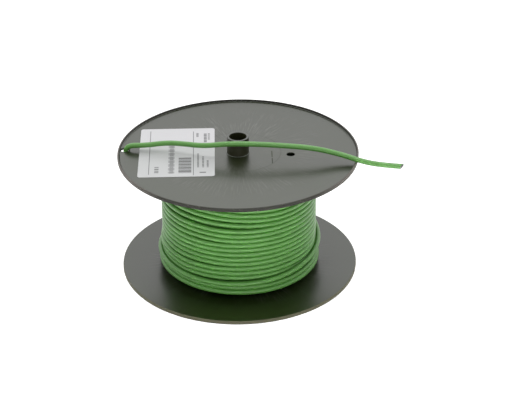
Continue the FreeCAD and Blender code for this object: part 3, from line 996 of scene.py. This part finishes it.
winding_points = []
for index in range(len(stations) - 1):
    start, end = stations[index][0], stations[index + 1][0]
    count = max(1, round((end - start) / WINDING_STEP))
    for step in range(count):
        share = step / count
        angle = start + (end - start) * share
        height = station_value(index, share, 2)
        radius = station_value(index, share, 1)
        if index < layer_stations:
            radius += swelling(angle, height)
        radius += WANDER * noise.noise(Vector((*at_angle(1, angle), angle / 600)) * 2)
        winding_points.append(on_drum(radius, angle, height))
winding_points.append(tail_start_mm * MM)
print("winding: %.1f turns, ends %.1f mm up" % (
    (stations[-1][0] - stations[0][0]) / 360, tail_start_mm.z))

winding = tube_mesh("winding_outer", winding_points, WOUND_WIRE / 2, sides=16)
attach(winding, "spool")
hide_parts("wire_outer_layer")

# %% [markdown]
# Under the outer layer lies the one before it, wound the other way, and it shows where two turns
# stand apart. A plain cylinder would close these slits too, but the light that falls into them
# would show that it isn't round wire. A plain helix of the same wire is enough.

# %% The layer below
BELOW_RADIUS = 46.9
BELOW_TURNS = 21
BELOW_START = 45
POINTS_PER_TURN = 60
END_SPACE = 1.5
below_low = turn_heights[-1][0] + END_SPACE
below_high = turn_heights[0][0] - END_SPACE
below_points = []
for index in range(BELOW_TURNS * POINTS_PER_TURN + 1):
    share = index / (BELOW_TURNS * POINTS_PER_TURN)
    below_points.append(on_drum(BELOW_RADIUS, BELOW_START + 360 * BELOW_TURNS * share,
                                below_low + (below_high - below_low) * share))
below = tube_mesh("winding_below", below_points, WOUND_WIRE / 2, sides=10)
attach(below, "spool")
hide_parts("wire_inner_layers")

# %% [markdown]
# The free end is the part of the wire that the eye follows: up from the back, through the hole at
# the rim, over the label, in front of the tube and out past the rim. It is springy, so it keeps
# smooth, uneven bends. The points below are the control points of a smooth spline, and the mesh
# tube follows points read from that spline. They come from the model's route, which was fitted
# outside these scripts to the wire in the photograph and then moved a little. The heights
# over the face come from the wire's reflection: the higher the wire, the lower its dark band.

# %% Control points of the free end
tail_points_mm = [
    tail_start_mm,
    (-47.03, 30.72, 66.59),
    (-58.21, 20.72, 70.33),
    (-67.9, 12.06, 74.17),
    (-74.5, 5.3, 77.8),
    (-74.8, 5.0, 87.6),
    (-61.6, 3.4, 88.3),
    (-47.2, 1.8, 90.8),
    (-36.0, -3.0, 92.3),
    (-22.6, -9.2, 93.5),
    (-6.8, -10.8, 95.7),
    (10.0, -12.0, 95.8),
    (28.9, -12.9, 94.9),
    (48.9, -14.2, 93.4),
    (65.9, -15.4, 89.5),
    (83.0, -21.7, 86.0),
    (97.0, -25.6, 85.6),
    (106.3, -27.1, 85.5),
]
print("free end: %d control points" % len(tail_points_mm))

# %% A spline through the free end
STEPS_PER_POINT = 24
tail_curve = bpy.data.curves.new("tail_line", "CURVE")
tail_curve.dimensions = "3D"
tail_curve.resolution_u = STEPS_PER_POINT
spline = tail_curve.splines.new("NURBS")
spline.points.add(len(tail_points_mm) - 1)
for control, place_mm in zip(spline.points, tail_points_mm):
    control.co = (*(Vector(place_mm) * MM), 1)
spline.order_u = 3
spline.use_endpoint_u = True
line_object = bpy.data.objects.new("tail_line", tail_curve)
line_mesh = bpy.data.meshes.new_from_object(line_object)
tail_line = [v.co.copy() for v in line_mesh.vertices]
bpy.data.objects.remove(line_object)
bpy.data.meshes.remove(line_mesh)

# %% [markdown]
# The cutter has left a slanted face with a small rounded edge, and the strands stand a little proud
# of it. So the tube ends in rings that lean over: the edge, the flat of the cut, and a short bore
# round the conductor. The rings from the edge inwards get the cut wire's finish.

# %% The free end's tube and its cut face
BORE = 1.02 * MM
BORE_DEPTH = 0.5 * MM
CUT_BACK = 0.25 * MM
CUT_SLANT = Vector((0, 0.65, 0.25))
TAIL_SIDES = 20
cut_rings = [
    (-CUT_BACK - 0.12 * MM, WIRE / 2),
    (-CUT_BACK - 0.02 * MM, WIRE / 2 - 0.06 * MM),
    (-CUT_BACK, WIRE / 2 - 0.12 * MM),
    (-CUT_BACK, BORE),
    (-CUT_BACK - BORE_DEPTH, BORE),
]
tail = tube_mesh("wire_free_end", tail_line, WIRE / 2, TAIL_SIDES, cut_rings, CUT_SLANT)
tail.data.materials.append(cut_wire)
first_cut_vertex = len(tail.data.vertices) - (len(cut_rings) - 1) * TAIL_SIDES
for polygon in tail.data.polygons:
    if min(polygon.vertices) >= first_cut_vertex:
        polygon.material_index = 1
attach(tail, "spool")
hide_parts("wire_tail")

# %% [markdown]
# At the tube's foot the flange's hub stands up as a thin lip, which shows as a pale arc in front of
# the tube. A profile with a round top, turned about the axis, gives it. A torus would be quicker,
# but its section is a circle, and this lip is a low round-shouldered step. Its pale colour is a
# painted highlight: the light that its front shoulder catches.

# %% Hub lip
# painted highlight: the lip's pale colour stands for the light on its shoulder
lip_painted_highlight = mottled("lip_painted_highlight", 350.0, 1.8, (0.10, 0.11, 0.10), (0.24, 0.26, 0.23),
                       0.4, 0.15, 0.01 * MM)
LIP_INNER = 7.42 * MM
LIP_OUTER = 7.75 * MM
LIP_HEIGHT = 0.28 * MM
LIP_ROOT = 0.1 * MM
SHOULDER = 0.12 * MM
SHOULDER_STEPS = 4
AROUND = 96
shoulder_height = upper_face + LIP_HEIGHT - SHOULDER
profile = [(LIP_INNER, upper_face - LIP_ROOT)]
for centre_radius, first_angle in ((LIP_INNER + SHOULDER, 180), (LIP_OUTER - SHOULDER, 90)):
    for step in range(SHOULDER_STEPS + 1):
        out, rise = at_angle(SHOULDER, first_angle - 90 * step / SHOULDER_STEPS)
        profile.append((centre_radius + out, shoulder_height + rise))
profile.append((LIP_OUTER, upper_face - LIP_ROOT))
vertices = []
for step in range(AROUND):
    for radius, height in profile:
        vertices.append((*at_angle(radius, 360 * step / AROUND), height))
faces = []
for step in range(AROUND):
    here = step * len(profile)
    there = (step + 1) % AROUND * len(profile)
    for index in range(len(profile)):
        after = (index + 1) % len(profile)
        faces.append((here + index, here + after, there + after, there + index))
lip_mesh = bpy.data.meshes.new("hub_lip")
lip_mesh.from_pydata(vertices, [], faces)
lip_mesh.polygons.foreach_set("use_smooth", [True] * len(lip_mesh.polygons))
lip_mesh.materials.append(lip_painted_highlight)
lip = bpy.data.objects.new("hub_lip", lip_mesh)
scene.collection.objects.link(lip)
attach(lip, "spool")
print("hub lip: radius %.2f to %.2f mm" % (LIP_INNER / MM, LIP_OUTER / MM))
